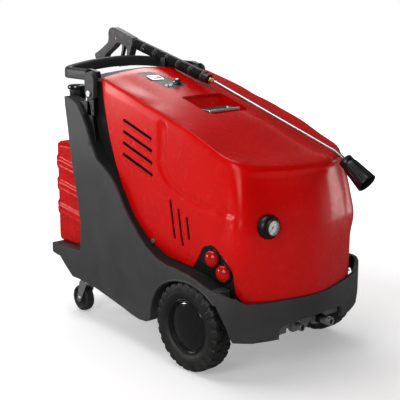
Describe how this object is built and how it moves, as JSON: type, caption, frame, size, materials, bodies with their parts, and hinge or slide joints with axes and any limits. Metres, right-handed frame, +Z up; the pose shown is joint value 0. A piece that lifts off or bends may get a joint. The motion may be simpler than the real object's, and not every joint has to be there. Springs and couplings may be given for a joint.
{
  "type": "hot-water pressure washer",
  "caption": "Wheeled hot-water pressure washer: sloping hood over pump and boiler, moulded chassis, two drive wheels, two swivel castors, push handle, gun and lance.",
  "frame": {"origin": "on the floor, under the middle of the whole length and width", "axes": "+X to the operator's side of the trigger gun, across the machine; +Y from the front towards the push handle; +Z up"},
  "size_m": [0.672, 1.3504, 1.0573],
  "materials": {
    "red_shell": "glossy moulded shell",
    "red_tank": "satin blow-moulded tank",
    "grey_moulding": "fine-grained roto-moulded chassis",
    "handle_plastic": "fine-grained grip",
    "black_plastic": "satin black",
    "gloss_black": "high-gloss domed cap",
    "knob_red": "gloss domed knob",
    "tyre_rubber": "block-tread rubber",
    "castor_rubber": "smooth rubber tread",
    "rim_black": "satin moulded rim",
    "zinc_steel": "zinc-plated pressing",
    "stainless": "polished tube",
    "chrome": "bright collar",
    "brass": "turned nut",
    "dial_white": "printed dial",
    "lens": "clear cover",
    "panel_grey": "membrane panel",
    "display": "display window",
    "green_plastic": "push button",
    "needle_black": "printed pointer",
    "painted_steel": "powder-coated",
    "cast_aluminium": "sand-cast",
    "boiler_steel": "rolled sheet",
    "box_grey": "electrical enclosure"
  },
  "bodies": {
    "machine": {"base_frame": "painted_steel", "side_panel_left": "grey_moulding", "side_panel_right": "grey_moulding", "bumper": "grey_moulding", "rear_shelf": "grey_moulding", "rear_wall": "grey_moulding", "top_cross": "grey_moulding", "hood": "red_shell", "hood_screws": "zinc_steel", "flue_tray": "red_shell", "flue_collar": "chrome", "control_panel": "panel_grey", "display_window": "display", "knob_panel": "black_plastic", "gauge_case": "black_plastic", "gauge_dial": "dial_white", "gauge_lens": "lens", "push_handle": "handle_plastic", "handle_bolts": "zinc_steel", "rear_tank": "red_tank", "filler_neck": "black_plastic", "drive_axle": "zinc_steel", "castor_plates": "zinc_steel", "lance_holder": "black_plastic", "water_inlet": "stainless", "pressure_outlet": "stainless", "cable_gland": "black_plastic", "motor_case": "cast_aluminium", "pump_block": "cast_aluminium", "boiler_shell": "boiler_steel", "heating_coil": "boiler_steel", "burner_case": "cast_aluminium", "electrical_box": "box_grey"},
    "wheel_left": {"tyre_left": "tyre_rubber", "rim_left": "rim_black", "hub_cap_left": "gloss_black"},
    "wheel_right": {"tyre_right": "tyre_rubber", "rim_right": "rim_black", "hub_cap_right": "gloss_black"},
    "castor_swivel_left": {"castor_fork_left": "zinc_steel"},
    "castor_swivel_right": {"castor_fork_right": "zinc_steel"},
    "castor_roller_left": {"castor_wheel_left": "castor_rubber"},
    "castor_roller_right": {"castor_wheel_right": "castor_rubber"},
    "detergent_dial": {"detergent_knob": "knob_red"},
    "pressure_dial": {"pressure_knob": "knob_red"},
    "switch": {"main_switch": "black_plastic"},
    "start": {"start_button": "green_plastic"},
    "stop": {"stop_button": "knob_red"},
    "needle": {"gauge_needle": "needle_black"},
    "gun": {"gun_body": "handle_plastic", "lance_sleeve": "black_plastic", "lance_nut": "brass", "lance_tube": "stainless", "nozzle_tip": "brass"},
    "trigger": {"gun_trigger": "black_plastic"},
    "catch": {"safety_catch": "knob_red"},
    "nozzle": {"nozzle_guard": "black_plastic"},
    "cap": {"fuel_cap": "black_plastic"},
    "rotor": {"motor_rotor": "zinc_steel"},
    "blower": {"blower_wheel": "cast_aluminium"}
  },
  "joints": [
    {"name": "wheel_left_spin", "type": "hinge", "parent": "machine", "child": "wheel_left", "pos_m": [-0.297, -0.3255, 0.15], "axis": [1, 0, 0], "continuous": true},
    {"name": "wheel_right_spin", "type": "hinge", "parent": "machine", "child": "wheel_right", "pos_m": [0.297, -0.3255, 0.15], "axis": [1, 0, 0], "continuous": true},
    {"name": "castor_left_swivel", "type": "hinge", "parent": "machine", "child": "castor_swivel_left", "pos_m": [-0.211, 0.3685, 0.12], "axis": [0, 0, 1], "continuous": true},
    {"name": "castor_right_swivel", "type": "hinge", "parent": "machine", "child": "castor_swivel_right", "pos_m": [0.211, 0.3685, 0.12], "axis": [0, 0, 1], "continuous": true},
    {"name": "castor_left_roll", "type": "hinge", "parent": "castor_swivel_left", "child": "castor_roller_left", "pos_m": [-0.211, 0.3985, 0.05], "axis": [1, 0, 0], "continuous": true},
    {"name": "castor_right_roll", "type": "hinge", "parent": "castor_swivel_right", "child": "castor_roller_right", "pos_m": [0.211, 0.3985, 0.05], "axis": [1, 0, 0], "continuous": true},
    {"name": "detergent_turn", "type": "hinge", "parent": "machine", "child": "detergent_dial", "pos_m": [-0.277, -0.3955, 0.385], "axis": [-0.9986, -0.0523, 0], "range_deg": [0, 270]},
    {"name": "pressure_turn", "type": "hinge", "parent": "machine", "child": "pressure_dial", "pos_m": [-0.276, -0.4455, 0.347], "axis": [-0.9986, -0.0523, 0], "range_deg": [0, 270]},
    {"name": "switch_turn", "type": "hinge", "parent": "machine", "child": "switch", "pos_m": [-0.02, 0.0655, 0.88112], "axis": [0, -0.2886, 0.9574], "range_deg": [-90, 0]},
    {"name": "start_press", "type": "slide", "parent": "machine", "child": "start", "axis": [0, 0.2886, -0.9574], "range_m": [0, 0.003], "stiffness_N_per_m": 300, "springref_m": -0.002},
    {"name": "stop_press", "type": "slide", "parent": "machine", "child": "stop", "axis": [0, 0.2886, -0.9574], "range_m": [0, 0.003], "stiffness_N_per_m": 300, "springref_m": -0.002},
    {"name": "needle_sweep", "type": "hinge", "parent": "machine", "child": "needle", "pos_m": [-0.184, -0.5635, 0.5], "axis": [0, 1, 0], "range_deg": [0, 270], "stiffness_Nm_per_rad": 0.002, "springref_deg": -17.19},
    {"name": "gun_lift", "type": "slide", "parent": "machine", "child": "gun", "axis": [0, 0, 1], "range_m": [0, 0.2]},
    {"name": "trigger_pull", "type": "hinge", "parent": "gun", "child": "trigger", "pos_m": [0.084, 0.49428, 1.00128], "axis": [1, 0, 0], "range_deg": [0, 16], "stiffness_Nm_per_rad": 0.6, "springref_deg": -17.19},
    {"name": "catch_push", "type": "slide", "parent": "gun", "child": "catch", "axis": [-1, 0, 0], "range_m": [0, 0.003]},
    {"name": "nozzle_turn", "type": "hinge", "parent": "gun", "child": "nozzle", "pos_m": [0.148, -0.5425, 0.689], "axis": [0.0632, -0.7969, -0.6008], "range_deg": [0, 90]},
    {"name": "cap_turn", "type": "hinge", "parent": "machine", "child": "cap", "pos_m": [-0.206, 0.4095, 0.83], "axis": [0, 0, 1], "range_deg": [0, 120]},
    {"name": "rotor_spin", "type": "hinge", "parent": "machine", "child": "rotor", "pos_m": [0.1, -0.3935, 0.3], "axis": [1, 0, 0], "continuous": true},
    {"name": "blower_spin", "type": "hinge", "parent": "machine", "child": "blower", "pos_m": [0, 0.1315, 0.6], "axis": [1, 0, 0], "continuous": true}
  ]
}
